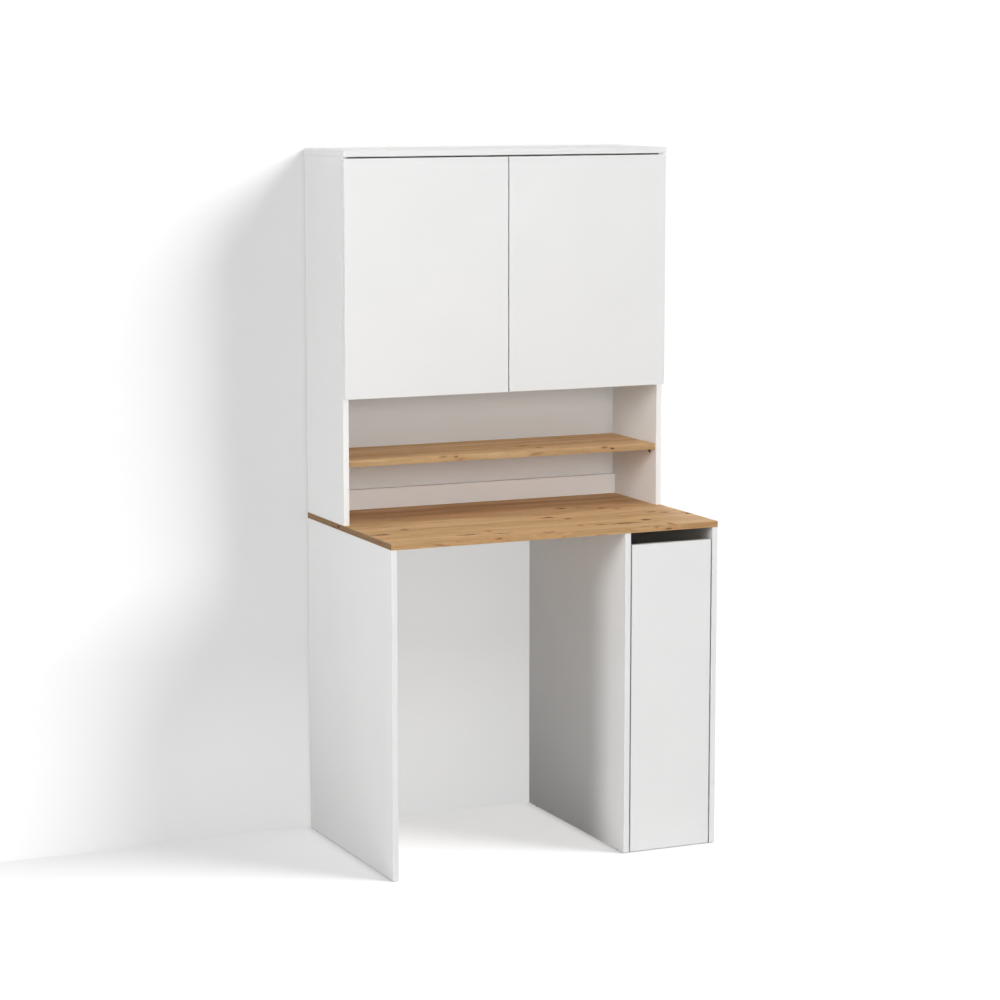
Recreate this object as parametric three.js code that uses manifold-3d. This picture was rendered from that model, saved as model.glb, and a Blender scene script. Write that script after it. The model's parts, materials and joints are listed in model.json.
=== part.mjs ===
// Laundry cabinet: a lower frame with an open appliance bay and a narrow pull-out bin, an oak worktop,
// and an upper unit that holds an open niche below a two-door cupboard.
// Millimetres, +Z up, front towards -Y. The origin is on the floor, at the middle of the footprint.
import * as THREE from 'three';
import { mergeVertices } from 'three/addons/utils/BufferGeometryUtils.js';
import Module from 'manifold-3d';

const wasm = await Module();
wasm.setup();

// Whole cabinet
const CABINET_WIDTH = 940;
const CABINET_DEPTH = 600;
const BOARD = 16; // thickness of every laminated board
const HARDBOARD = 3; // thickness of the back panels
const EASE = 0.5; // eased edge of a board
const SEAT = 0.3; // gap between a piece and the hole, groove or shelf that it seats in
const OVERRUN = 2; // how far a cutting tool runs past the face that it cuts

// Lower frame
const GLIDE_HEIGHT = 2;
const GLIDE_RADIUS = 7;
const GLIDE_SETBACK = 45; // from the ends of a panel to the middle of a glide
const LOWER_PANEL_HEIGHT = 864;
const BAY_WIDTH = 649; // clear width of the appliance bay
const BAY_RAIL_HEIGHT = 100;
const COMPARTMENT_RAIL_HEIGHT = 80;
const GROOVE_DEPTH = 8;
const GROOVE_SETBACK = 10; // from a panel's rear edge to its groove

// Pull-out bin
const FRONT_SIDE_GAP = 4;
const FRONT_FLOOR_GAP = 3;
const GRIP_GAP = 32; // finger space between the front's top edge and the worktop
const BIN_BOARD = 12;
const BIN_REAR_GAP = 31; // from the bin to the compartment's back
const BIN_HEIGHT = 500;
const BIN_LIFT = 10; // from the compartment floor to the bin

// Telescopic runners
const RUNNER_SPACE = 13; // from the compartment wall to the bin
const RUNNER_HEIGHT = 45;
const RUNNER_LEVEL = 230; // from the bottom of the bin to the middle of the runner
const RUNNER_SETBACK = 3; // from the back of the front to the runner
const RUNNER_REAR_SETBACK = 37; // from the runner to the rear of the bin
const RUNNER_STEEL = 1.2;
const RUNNER_PLAY = 0.4; // between nested members
const RUNNER_REACH = 10; // width of the outer channel
const RUNNER_LIP = 3; // height of the rolled lip of a channel
const RUNNER_HOLE_RADIUS = 2.2;
const RUNNER_HOLE_PLACE_SHARES = [0.07, 0.5, 0.93]; // along a member

// Upper unit
const UPPER_SIDE_HEIGHT = 967;
const UPPER_SIDE_DEPTH = 270;
const BACK_REBATE_WIDTH = 9;
const NICHE_RAIL_HEIGHT = 55;
const HANGING_RAIL_HEIGHT = 80;
const NICHE_SHELF_LEVEL = 154; // from the worktop to the underside of the niche shelf
const NICHE_SHELF_SETBACK = 5; // from the front edges of the sides
const CUPBOARD_SHELF_LEVEL = 300; // from the cupboard floor to the underside of its shelf
const CUPBOARD_SHELF_SETBACK = 20;
const SHELF_END_GAP = 0.8;

// Doors
const DOOR_HEIGHT = 627;
const DOOR_BACK_GAP = 1; // between a closed door and the front edges of the sides
const DOOR_TOP_GAP = 4;
const DOOR_OUTER_INSET = 1; // from the outer face of a side to the edge of its door
const DOOR_CENTRE_GAP = 3;
const CUPBOARD_FLOOR_LIFT = 1; // from the lower edges of the doors to the cupboard floor
const BUMPER_RADIUS = 4;
const BUMPER_THICKNESS = 0.7;
const BUMPER_INSET = 24; // from the free edge of a door to the middle of its bumper

// Concealed cup hinges
const HINGE_SETBACK = 100; // from the end of a door to the middle of a hinge
const CUP_RADIUS = 17.5;
const CUP_DEPTH = 11.3;
const CUP_WALL = 0.8;
const CUP_EDGE_DISTANCE = 5; // from the edge of the door to the rim of the cup
const FLANGE_OVERHANG = 1.5;
const FLANGE_THICKNESS = 0.6;
const EAR_SPACING = 45; // between the two flange screws
const EAR_OFFSET = 9.5; // from the middle of the cup to the line of the screws
const EAR_RADIUS = 6;
const HINGE_SCREW_RADIUS = 2.1;
const PLATE_THICKNESS = 2;
const PLATE_LINE = 37; // from the front edge of the side to the line of the plate's screws
const PLATE_WING_WIDTH = 15;
const PLATE_WING_SPAN = 46;
const PLATE_SCREW_SPACING = 32;
const PLATE_FRONT = 14;
const PLATE_LENGTH = 48;
const RISER_HEIGHT = 7;
const ARM_WIDTH = 15;
const ARM_WALL = 1.4;
const ARM_LIFT = 0.5; // from the plate to the edges of the arm
const ARM_TOP = 13.5; // from the side to the crown of the arm
const ARM_TAIL_TOP = 9;
const ARM_TAIL_LENGTH = 12; // sloped stretch at the rear of the arm
const ARM_REAR = 62; // from the front edge of the side to the rear of the arm
const NECK_REAR = 9; // where the neck leaves the arm, behind the front edge of the side
const NECK_CROWN = 1.6; // how far the neck swells over the crown of the arm
const NECK_TIP = 9.5; // how far the neck reaches in front of the side
const NECK_HEEL = 1.6; // from the side to the underside of the neck
const NECK_TIP_LOW = 4;
const NECK_TIP_HIGH = 11;

// Shelf supports
const SUPPORT_SHANK_RADIUS = 2.5;
const SUPPORT_SHANK_LENGTH = 8;
const SUPPORT_WIDTH = 10;
const SUPPORT_HEIGHT = 12;
const SUPPORT_STEEL = 1.6;
const SUPPORT_TONGUE_LENGTH = 12;
const SUPPORT_RIB_WIDTH = 4;
const SUPPORT_HOLE_DEPTH = 9;
const HOLE_ROW_LINE = 37; // from the edges of a side to its rows of holes
const HOLE_PITCH = 32;
const HOLE_STEPS = [-2, -1, 0, 1, 2]; // spare holes below and above the cupboard shelf

// Facets of round work
const FINE_SIDES = 32;
const SMALL_SIDES = 12;

// Levels and planes that the sizes above set
const LEFT = -CABINET_WIDTH / 2;
const RIGHT = CABINET_WIDTH / 2;
const FRONT = -CABINET_DEPTH / 2;
const REAR = CABINET_DEPTH / 2;
const LOWER_TOP = GLIDE_HEIGHT + LOWER_PANEL_HEIGHT;
const WORKTOP_TOP = LOWER_TOP + BOARD;
const PARTITION_LEFT = LEFT + BOARD + BAY_WIDTH;
const COMPARTMENT_LEFT = PARTITION_LEFT + BOARD;
const COMPARTMENT_RIGHT = RIGHT - BOARD;
const COMPARTMENT_MIDDLE = (COMPARTMENT_LEFT + COMPARTMENT_RIGHT) / 2;
const COMPARTMENT_BACK_REAR = REAR - GROOVE_SETBACK;
const COMPARTMENT_BACK_FRONT = COMPARTMENT_BACK_REAR - HARDBOARD;
const PULLOUT_BACK = FRONT + BOARD; // rear face of the pull-out's front
const BIN_BOTTOM = GLIDE_HEIGHT + BOARD + BIN_LIFT;
const BIN_REAR = COMPARTMENT_BACK_FRONT - BIN_REAR_GAP;
const BIN_LEFT = COMPARTMENT_LEFT + RUNNER_SPACE;
const BIN_RIGHT = COMPARTMENT_RIGHT - RUNNER_SPACE;
const RUNNER_START = PULLOUT_BACK + RUNNER_SETBACK;
const RUNNER_LENGTH = BIN_REAR - RUNNER_REAR_SETBACK - RUNNER_START;
const RUNNER_MIDDLE = BIN_BOTTOM + RUNNER_LEVEL;
const UPPER_TOP = WORKTOP_TOP + UPPER_SIDE_HEIGHT;
const UPPER_FRONT = REAR - UPPER_SIDE_DEPTH;
const UPPER_BACK_FRONT = REAR - HARDBOARD;
const DOOR_BACK = UPPER_FRONT - DOOR_BACK_GAP;
const DOOR_FRONT = DOOR_BACK - BOARD;
const DOOR_TOP = UPPER_TOP - DOOR_TOP_GAP;
const DOOR_BOTTOM = DOOR_TOP - DOOR_HEIGHT;
const DOOR_LEFT = LEFT + DOOR_OUTER_INSET;
const CUPBOARD_FLOOR = DOOR_BOTTOM + CUPBOARD_FLOOR_LIFT + BOARD;
const SIDE_FACE = LEFT + BOARD; // inner face of the upper left side
const CUP_MIDDLE = DOOR_LEFT + CUP_EDGE_DISTANCE + CUP_RADIUS;
const NICHE_SHELF_BOTTOM = WORKTOP_TOP + NICHE_SHELF_LEVEL;
const CUPBOARD_SHELF_BOTTOM = CUPBOARD_FLOOR + CUPBOARD_SHELF_LEVEL;

const AXES = [new THREE.Vector3(1, 0, 0), new THREE.Vector3(0, 1, 0), new THREE.Vector3(0, 0, 1)];
const [X_AXIS, Y_AXIS, Z_AXIS] = AXES;

// Finishes

const whiteLaminate = () => new THREE.MeshStandardMaterial({ color: 0xe9e8e6, roughness: 0.45, metalness: 0 });
const whiteHardboard = () => new THREE.MeshStandardMaterial({ color: 0xe2e0dc, roughness: 0.6, metalness: 0 });
const oakLaminate = () => new THREE.MeshStandardMaterial({ color: 0xb8935f, roughness: 0.5, metalness: 0 });
const zincSteel = () => new THREE.MeshStandardMaterial({ color: 0xa9acae, roughness: 0.35, metalness: 0.9 });
const nickelSteel = () => new THREE.MeshStandardMaterial({ color: 0xb9b7b2, roughness: 0.25, metalness: 1 });
const darkMetal = () => new THREE.MeshStandardMaterial({ color: 0x4a4642, roughness: 0.4, metalness: 0.8 });
const clearRubber = () => new THREE.MeshStandardMaterial({ color: 0xdcdcd8, roughness: 0.3, metalness: 0 });
const greyPlastic = () => new THREE.MeshStandardMaterial({ color: 0x8c8a86, roughness: 0.6, metalness: 0 });

// Solids

function toSolid(geometry) {
  const bare = new THREE.BufferGeometry();
  bare.setAttribute('position', geometry.getAttribute('position'));
  bare.setIndex(geometry.getIndex());
  const merged = mergeVertices(bare);
  return new wasm.Manifold(new wasm.Mesh({
    numProp: 3,
    vertProperties: merged.getAttribute('position').array,
    triVerts: new Uint32Array(merged.getIndex().array),
  }));
}

function toGeometry(solid) {
  const mesh = solid.getMesh();
  const geometry = new THREE.BufferGeometry();
  geometry.setAttribute('position', new THREE.BufferAttribute(mesh.vertProperties, mesh.numProp));
  geometry.setIndex(new THREE.BufferAttribute(mesh.triVerts, 1));
  const faceted = geometry.toNonIndexed();
  faceted.computeVertexNormals();
  return faceted;
}

function join(...geometries) {
  return toGeometry(geometries.map(toSolid).reduce((whole, piece) => whole.add(piece)));
}

function cut(geometry, tools) {
  return toGeometry(tools.map(toSolid).reduce((rest, tool) => rest.subtract(tool), toSolid(geometry)));
}

function piece(name, geometry, material) {
  const mesh = new THREE.Mesh(geometry, material);
  mesh.name = name;
  return mesh;
}

// The same piece on the other side of a vertical plane across the width.
function mirrored(name, mesh, plane = 0) {
  const twin = new THREE.Mesh(mesh.geometry, mesh.material.clone());
  twin.name = name;
  twin.scale.x = -1;
  twin.position.x = 2 * plane;
  return twin;
}

function placed(geometry, [across, along, through], origin) {
  return geometry.applyMatrix4(new THREE.Matrix4().makeBasis(across, along, through).setPosition(...origin));
}

// A board with eased edges round both of its faces.
function slab({ left, right, front, rear, bottom, top }, ease = EASE) {
  const low = [left, front, bottom];
  const size = [right - left, rear - front, top - bottom];
  const thin = size.indexOf(Math.min(...size));
  const [across, along, through] = [1, 2, 3].map((step) => (thin + step) % 3);
  const outline = new THREE.Shape();
  outline.moveTo(0, 0).lineTo(size[across], 0).lineTo(size[across], size[along]).lineTo(0, size[along]);
  const geometry = new THREE.ExtrudeGeometry(outline, {
    depth: size[through] - 2 * ease,
    bevelEnabled: ease > 0,
    bevelThickness: ease,
    bevelSize: ease,
    bevelOffset: -ease,
    bevelSegments: 1,
  });
  geometry.translate(0, 0, ease);
  return placed(geometry, [AXES[across], AXES[along], AXES[through]], low);
}

// A block with sharp edges, for tools and small steel parts.
function block(bounds) {
  return slab(bounds, 0);
}

function rod(radius, length, start, axis, sides = SMALL_SIDES) {
  const geometry = new THREE.CylinderGeometry(radius, radius, length, sides);
  geometry.translate(0, length / 2, 0);
  const index = AXES.indexOf(axis);
  return placed(geometry, [AXES[(index + 2) % 3], axis, AXES[(index + 1) % 3]], start);
}

// An outline in x and z, drawn out along the depth.
function drawnAlongDepth(points, start, length) {
  const outline = new THREE.Shape(points.map(([x, z]) => new THREE.Vector2(z, x)));
  const geometry = new THREE.ExtrudeGeometry(outline, { depth: length, bevelEnabled: false });
  return placed(geometry, [Z_AXIS, X_AXIS, Y_AXIS], [0, start, 0]);
}

// Lower frame

function floorGlide(name, panelLeft, y) {
  const start = [panelLeft + BOARD / 2, y, 0];
  return piece(name, rod(GLIDE_RADIUS, GLIDE_HEIGHT, start, Z_AXIS, FINE_SIDES / 2), greyPlastic());
}

function lowerPanel(left) {
  return { left, right: left + BOARD, front: FRONT, rear: REAR, bottom: GLIDE_HEIGHT, top: LOWER_TOP };
}

// The upright groove that takes the compartment's back panel, open at both ends.
function backGroove(left, right) {
  return block({
    left,
    right,
    front: COMPARTMENT_BACK_FRONT - SEAT,
    rear: COMPARTMENT_BACK_REAR + SEAT,
    bottom: GLIDE_HEIGHT - OVERRUN,
    top: LOWER_TOP + OVERRUN,
  });
}

function lowerFrame() {
  const partitionGroove = backGroove(COMPARTMENT_LEFT - GROOVE_DEPTH, COMPARTMENT_LEFT + OVERRUN);
  const rightGroove = backGroove(COMPARTMENT_RIGHT - OVERRUN, COMPARTMENT_RIGHT + GROOVE_DEPTH);
  const panels = [
    ['left_side_panel', LEFT, []],
    ['partition_panel', PARTITION_LEFT, [partitionGroove]],
    ['right_side_panel', COMPARTMENT_RIGHT, [rightGroove]],
  ];
  const pieces = [];
  for (const [name, left, tools] of panels) {
    pieces.push(piece(name, cut(slab(lowerPanel(left)), tools), whiteLaminate()));
    pieces.push(floorGlide(`${name}_front_glide`, left, FRONT + GLIDE_SETBACK));
    pieces.push(floorGlide(`${name}_rear_glide`, left, REAR - GLIDE_SETBACK));
  }
  return pieces;
}

function worktop() {
  const bounds = { left: LEFT, right: RIGHT, front: FRONT, rear: REAR, bottom: LOWER_TOP, top: WORKTOP_TOP };
  return piece('worktop', slab(bounds), oakLaminate());
}

function bayRail() {
  const bounds = {
    left: LEFT + BOARD,
    right: PARTITION_LEFT,
    front: REAR - BOARD,
    rear: REAR,
    bottom: LOWER_TOP - BAY_RAIL_HEIGHT,
    top: LOWER_TOP,
  };
  return piece('bay_rear_rail', slab(bounds), whiteLaminate());
}

function compartment() {
  const width = { left: COMPARTMENT_LEFT, right: COMPARTMENT_RIGHT };
  const floor = {
    ...width,
    front: RUNNER_START,
    rear: COMPARTMENT_BACK_FRONT,
    bottom: GLIDE_HEIGHT,
    top: GLIDE_HEIGHT + BOARD,
  };
  const rail = {
    ...width,
    front: COMPARTMENT_BACK_FRONT - BOARD,
    rear: COMPARTMENT_BACK_FRONT,
    bottom: LOWER_TOP - COMPARTMENT_RAIL_HEIGHT,
    top: LOWER_TOP,
  };
  const back = {
    left: COMPARTMENT_LEFT - GROOVE_DEPTH + SEAT,
    right: COMPARTMENT_RIGHT + GROOVE_DEPTH - SEAT,
    front: COMPARTMENT_BACK_FRONT,
    rear: COMPARTMENT_BACK_REAR,
    bottom: GLIDE_HEIGHT,
    top: LOWER_TOP,
  };
  return [
    piece('compartment_floor', slab(floor), whiteLaminate()),
    piece('compartment_rear_rail', slab(rail), whiteLaminate()),
    piece('compartment_back', block(back), whiteHardboard()),
  ];
}

// Pull-out bin

function pulloutFront() {
  const bounds = {
    left: COMPARTMENT_LEFT + FRONT_SIDE_GAP,
    right: COMPARTMENT_RIGHT - FRONT_SIDE_GAP,
    front: FRONT,
    rear: PULLOUT_BACK,
    bottom: FRONT_FLOOR_GAP,
    top: LOWER_TOP - GRIP_GAP,
  };
  return piece('pullout_front', slab(bounds), whiteLaminate());
}

function bin() {
  const height = { bottom: BIN_BOTTOM, top: BIN_BOTTOM + BIN_HEIGHT };
  const length = { front: PULLOUT_BACK, rear: BIN_REAR };
  const inside = { left: BIN_LEFT + BIN_BOARD, right: BIN_RIGHT - BIN_BOARD };
  const side = { left: BIN_LEFT, right: inside.left, ...length, ...height };
  const base = { ...inside, ...length, bottom: BIN_BOTTOM, top: BIN_BOTTOM + BIN_BOARD };
  const back = { ...inside, ...length, front: length.rear - BIN_BOARD, bottom: base.top, top: height.top };
  const leftSide = piece('bin_left_side', slab(side), whiteLaminate());
  return [
    leftSide,
    mirrored('bin_right_side', leftSide, COMPARTMENT_MIDDLE),
    piece('bin_base', slab(base), whiteLaminate()),
    piece('bin_back', slab(back), whiteLaminate()),
  ];
}

// Telescopic runners: three nested steel members, each an outline drawn out along the depth.

// The lower half of an outline repeats its upper half.
function bothHalves(upper) {
  const lower = upper.map(([x, z]) => [x, -z]).reverse();
  return [...upper, ...lower];
}

function lippedChannel(webFace, reach, halfHeight) {
  const lipBottom = halfHeight - RUNNER_LIP;
  return bothHalves([
    [webFace, halfHeight],
    [reach, halfHeight],
    [reach, lipBottom],
    [reach - RUNNER_STEEL, lipBottom],
    [reach - RUNNER_STEEL, halfHeight - RUNNER_STEEL],
    [webFace + RUNNER_STEEL, halfHeight - RUNNER_STEEL],
  ]);
}

// The bin's member hooks behind the lips of the middle one.
function hookedChannel(middleReach, middleHalfHeight) {
  const neck = middleHalfHeight - RUNNER_LIP - RUNNER_PLAY;
  const hookFace = middleReach - RUNNER_STEEL - RUNNER_PLAY;
  const hookTop = middleHalfHeight - RUNNER_STEEL - RUNNER_PLAY;
  return bothHalves([
    [RUNNER_SPACE, neck],
    [hookFace, neck],
    [hookFace, hookTop],
    [hookFace - RUNNER_STEEL, hookTop],
    [hookFace - RUNNER_STEEL, neck - RUNNER_STEEL],
    [RUNNER_SPACE - RUNNER_STEEL, neck - RUNNER_STEEL],
  ]);
}

function runnerMember(outline, webStart) {
  const toWall = ([x, z]) => [COMPARTMENT_LEFT + x, RUNNER_MIDDLE + z];
  const holes = RUNNER_HOLE_PLACE_SHARES.map((share) => rod(
    RUNNER_HOLE_RADIUS,
    RUNNER_STEEL + 2 * RUNNER_PLAY,
    [COMPARTMENT_LEFT + webStart - RUNNER_PLAY, RUNNER_START + share * RUNNER_LENGTH, RUNNER_MIDDLE],
    X_AXIS,
  ));
  return cut(drawnAlongDepth(outline.map(toWall), RUNNER_START, RUNNER_LENGTH), holes);
}

function runners() {
  const nested = RUNNER_STEEL + RUNNER_PLAY;
  const halfHeight = RUNNER_HEIGHT / 2;
  const middleReach = RUNNER_REACH - nested;
  const middleHalfHeight = halfHeight - nested;
  const members = [
    ['cabinet', lippedChannel(0, RUNNER_REACH, halfHeight), 0],
    ['middle', lippedChannel(nested, middleReach, middleHalfHeight), nested],
    ['bin', hookedChannel(middleReach, middleHalfHeight), RUNNER_SPACE - RUNNER_STEEL],
  ];
  return members.flatMap(([part, outline, webStart]) => {
    const left = piece(`left_runner_${part}_member`, runnerMember(outline, webStart), zincSteel());
    return [left, mirrored(`right_runner_${part}_member`, left, COMPARTMENT_MIDDLE)];
  });
}

// Upper unit

const supportLines = [UPPER_FRONT + HOLE_ROW_LINE, UPPER_BACK_FRONT - HOLE_ROW_LINE];
const supportDrop = SUPPORT_HEIGHT / 2; // from the top of a support to its shank

function supportHole(y, shelfBottom) {
  const start = [SIDE_FACE - SUPPORT_HOLE_DEPTH, y, shelfBottom - SEAT - supportDrop];
  return rod(SUPPORT_SHANK_RADIUS + SEAT, SUPPORT_HOLE_DEPTH + OVERRUN, start, X_AXIS);
}

function upperSide() {
  const bounds = {
    left: LEFT,
    right: SIDE_FACE,
    front: UPPER_FRONT,
    rear: REAR,
    bottom: WORKTOP_TOP,
    top: UPPER_TOP,
  };
  const rebate = block({
    left: SIDE_FACE - BACK_REBATE_WIDTH,
    right: SIDE_FACE + OVERRUN,
    front: UPPER_BACK_FRONT,
    rear: REAR + OVERRUN,
    bottom: WORKTOP_TOP - OVERRUN,
    top: UPPER_TOP + OVERRUN,
  });
  const cupboardHoles = HOLE_STEPS.map((step) => CUPBOARD_SHELF_BOTTOM + step * HOLE_PITCH);
  const levels = [NICHE_SHELF_BOTTOM, ...cupboardHoles];
  const holes = supportLines.flatMap((y) => levels.map((z) => supportHole(y, z)));
  return piece('upper_left_side', cut(slab(bounds), [rebate, ...holes]), whiteLaminate());
}

function topPanel() {
  const bounds = {
    left: LEFT,
    right: RIGHT,
    front: DOOR_FRONT,
    rear: REAR,
    bottom: UPPER_TOP,
    top: UPPER_TOP + BOARD,
  };
  return piece('top_panel', slab(bounds), whiteLaminate());
}

function upperBoards() {
  const width = { left: SIDE_FACE, right: -SIDE_FACE };
  const floor = {
    ...width,
    front: UPPER_FRONT,
    rear: UPPER_BACK_FRONT,
    bottom: CUPBOARD_FLOOR - BOARD,
    top: CUPBOARD_FLOOR,
  };
  const rail = { ...width, front: UPPER_BACK_FRONT - BOARD, rear: UPPER_BACK_FRONT };
  const nicheRail = { ...rail, bottom: WORKTOP_TOP, top: WORKTOP_TOP + NICHE_RAIL_HEIGHT };
  const hangingRail = { ...rail, bottom: UPPER_TOP - HANGING_RAIL_HEIGHT, top: UPPER_TOP };
  const back = {
    left: SIDE_FACE - BACK_REBATE_WIDTH + SEAT,
    right: -(SIDE_FACE - BACK_REBATE_WIDTH + SEAT),
    front: UPPER_BACK_FRONT,
    rear: REAR,
    bottom: WORKTOP_TOP,
    top: UPPER_TOP,
  };
  return [
    piece('cupboard_floor', slab(floor), whiteLaminate()),
    piece('niche_rear_rail', slab(nicheRail), whiteLaminate()),
    piece('hanging_rail', slab(hangingRail), whiteLaminate()),
    piece('upper_back', block(back), whiteHardboard()),
  ];
}

function shelf(name, bottom, setback, material) {
  const bounds = {
    left: SIDE_FACE + SHELF_END_GAP,
    right: -(SIDE_FACE + SHELF_END_GAP),
    front: UPPER_FRONT + setback,
    rear: UPPER_BACK_FRONT - SEAT,
    bottom,
    top: bottom + BOARD,
  };
  return piece(name, slab(bounds), material);
}

// A shelf support: a shank in the side, a round-ended plate against it, and a tongue under the shelf
// on a three-cornered rib.
function shelfSupport(name, y, shelfBottom) {
  const top = shelfBottom - SEAT;
  const plateFace = SIDE_FACE + SEAT;
  const halfWidth = SUPPORT_WIDTH / 2;
  const outline = new THREE.Shape();
  outline.moveTo(halfWidth, 0);
  outline.lineTo(-halfWidth, 0);
  outline.absarc(0, halfWidth - SUPPORT_HEIGHT, halfWidth, Math.PI, 2 * Math.PI);
  const sheet = new THREE.ExtrudeGeometry(outline, {
    depth: SUPPORT_STEEL,
    bevelEnabled: false,
    curveSegments: SMALL_SIDES,
  });
  const plate = placed(sheet, [Y_AXIS, Z_AXIS, X_AXIS], [plateFace, y, top]);
  const tongue = block({
    left: plateFace,
    right: plateFace + SUPPORT_TONGUE_LENGTH,
    front: y - halfWidth,
    rear: y + halfWidth,
    bottom: top - SUPPORT_STEEL,
    top,
  });
  const ribTop = top - SUPPORT_STEEL / 2;
  const ribBottom = top - SUPPORT_HEIGHT + SUPPORT_STEEL;
  const rib = drawnAlongDepth(
    [
      [plateFace, ribTop],
      [plateFace, ribBottom],
      [plateFace + SUPPORT_STEEL, ribBottom],
      [plateFace + SUPPORT_TONGUE_LENGTH - SUPPORT_STEEL, ribTop],
    ],
    y - SUPPORT_RIB_WIDTH / 2,
    SUPPORT_RIB_WIDTH,
  );
  const shankStart = [SIDE_FACE - SUPPORT_SHANK_LENGTH, y, top - supportDrop];
  const shankLength = SUPPORT_SHANK_LENGTH + SEAT + SUPPORT_STEEL / 2;
  const shank = rod(SUPPORT_SHANK_RADIUS, shankLength, shankStart, X_AXIS);
  return piece(name, join(plate, tongue, rib, shank), darkMetal());
}

function shelves() {
  const fittings = [
    ['niche_shelf', NICHE_SHELF_BOTTOM, NICHE_SHELF_SETBACK, oakLaminate()],
    ['cupboard_shelf', CUPBOARD_SHELF_BOTTOM, CUPBOARD_SHELF_SETBACK, whiteLaminate()],
  ];
  return fittings.flatMap(([name, bottom, setback, material]) => {
    const supports = supportLines.flatMap((y, row) => {
      const place = row === 0 ? 'front' : 'rear';
      const left = shelfSupport(`${name}_left_${place}_support`, y, bottom);
      return [left, mirrored(`${name}_right_${place}_support`, left)];
    });
    return [shelf(name, bottom, setback, material), ...supports];
  });
}

// Doors with concealed cup hinges

const hingeLevels = [
  ['lower', DOOR_BOTTOM + HINGE_SETBACK],
  ['upper', DOOR_TOP - HINGE_SETBACK],
];

function door() {
  const bounds = {
    left: DOOR_LEFT,
    right: -DOOR_CENTRE_GAP / 2,
    front: DOOR_FRONT,
    rear: DOOR_BACK,
    bottom: DOOR_BOTTOM,
    top: DOOR_TOP,
  };
  const holes = hingeLevels.map(([, level]) => rod(
    CUP_RADIUS + SEAT,
    CUP_DEPTH + SEAT + OVERRUN,
    [CUP_MIDDLE, DOOR_BACK - CUP_DEPTH - SEAT, level],
    Y_AXIS,
    FINE_SIDES,
  ));
  return piece('left_door', cut(slab(bounds), holes), whiteLaminate());
}

function doorBumper() {
  const start = [-DOOR_CENTRE_GAP / 2 - BUMPER_INSET, DOOR_BACK, CUPBOARD_FLOOR - BOARD / 2];
  return piece('left_door_bumper', rod(BUMPER_RADIUS, BUMPER_THICKNESS, start, Y_AXIS), clearRubber());
}

// The pressed steel cup, let into the door, with its two screw ears.
function hingeCup(name, level) {
  const inner = CUP_RADIUS - CUP_WALL;
  const rim = CUP_RADIUS + FLANGE_OVERHANG;
  const profile = [
    [0, -CUP_DEPTH],
    [CUP_RADIUS, -CUP_DEPTH],
    [CUP_RADIUS, 0],
    [rim, 0],
    [rim, FLANGE_THICKNESS],
    [inner, FLANGE_THICKNESS],
    [inner, CUP_WALL - CUP_DEPTH],
    [0, CUP_WALL - CUP_DEPTH],
  ];
  const bowl = new THREE.LatheGeometry(profile.map(([r, d]) => new THREE.Vector2(r, d)), FINE_SIDES);
  const middle = [CUP_MIDDLE, DOOR_BACK, level];
  const earLine = CUP_MIDDLE + EAR_OFFSET;
  const earLevels = [level - EAR_SPACING / 2, level + EAR_SPACING / 2];
  const ear = (z) => rod(EAR_RADIUS, FLANGE_THICKNESS, [earLine, DOOR_BACK, z], Y_AXIS, FINE_SIDES / 2);
  const strip = block({
    left: earLine - EAR_RADIUS,
    right: earLine + EAR_RADIUS,
    front: DOOR_BACK,
    rear: DOOR_BACK + FLANGE_THICKNESS,
    bottom: earLevels[0],
    top: earLevels[1],
  });
  const cutStart = DOOR_BACK - OVERRUN / 2;
  const cutDepth = FLANGE_THICKNESS + OVERRUN;
  const mouth = rod(inner, cutDepth, [CUP_MIDDLE, cutStart, level], Y_AXIS, FINE_SIDES);
  const screws = earLevels.map((z) => rod(HINGE_SCREW_RADIUS, cutDepth, [earLine, cutStart, z], Y_AXIS));
  const flange = cut(join(strip, ...earLevels.map(ear)), [mouth, ...screws]);
  const cup = placed(bowl, [Z_AXIS.clone().negate(), Y_AXIS, X_AXIS], middle);
  return piece(name, join(cup, flange), nickelSteel());
}

// The mounting plate, screwed to the side, with the riser that the arm straddles.
function hingePlate(name, level) {
  const wing = block({
    left: SIDE_FACE,
    right: SIDE_FACE + PLATE_THICKNESS,
    front: UPPER_FRONT + PLATE_LINE - PLATE_WING_WIDTH / 2,
    rear: UPPER_FRONT + PLATE_LINE + PLATE_WING_WIDTH / 2,
    bottom: level - PLATE_WING_SPAN / 2,
    top: level + PLATE_WING_SPAN / 2,
  });
  const riserHalf = ARM_WIDTH / 2 - ARM_WALL - SEAT;
  const foot = block({
    left: SIDE_FACE,
    right: SIDE_FACE + PLATE_THICKNESS,
    front: UPPER_FRONT + PLATE_FRONT,
    rear: UPPER_FRONT + PLATE_FRONT + PLATE_LENGTH,
    bottom: level - ARM_WIDTH / 2,
    top: level + ARM_WIDTH / 2,
  });
  const riser = block({
    left: SIDE_FACE,
    right: SIDE_FACE + PLATE_THICKNESS + RISER_HEIGHT,
    front: UPPER_FRONT + PLATE_FRONT,
    rear: UPPER_FRONT + PLATE_FRONT + PLATE_LENGTH - ARM_TAIL_LENGTH,
    bottom: level - riserHalf,
    top: level + riserHalf,
  });
  const screws = [level - PLATE_SCREW_SPACING / 2, level + PLATE_SCREW_SPACING / 2].map((z) => rod(
    HINGE_SCREW_RADIUS,
    PLATE_THICKNESS + OVERRUN,
    [SIDE_FACE - OVERRUN / 2, UPPER_FRONT + PLATE_LINE, z],
    X_AXIS,
  ));
  return piece(name, cut(join(wing, foot, riser), screws), nickelSteel());
}

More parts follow.
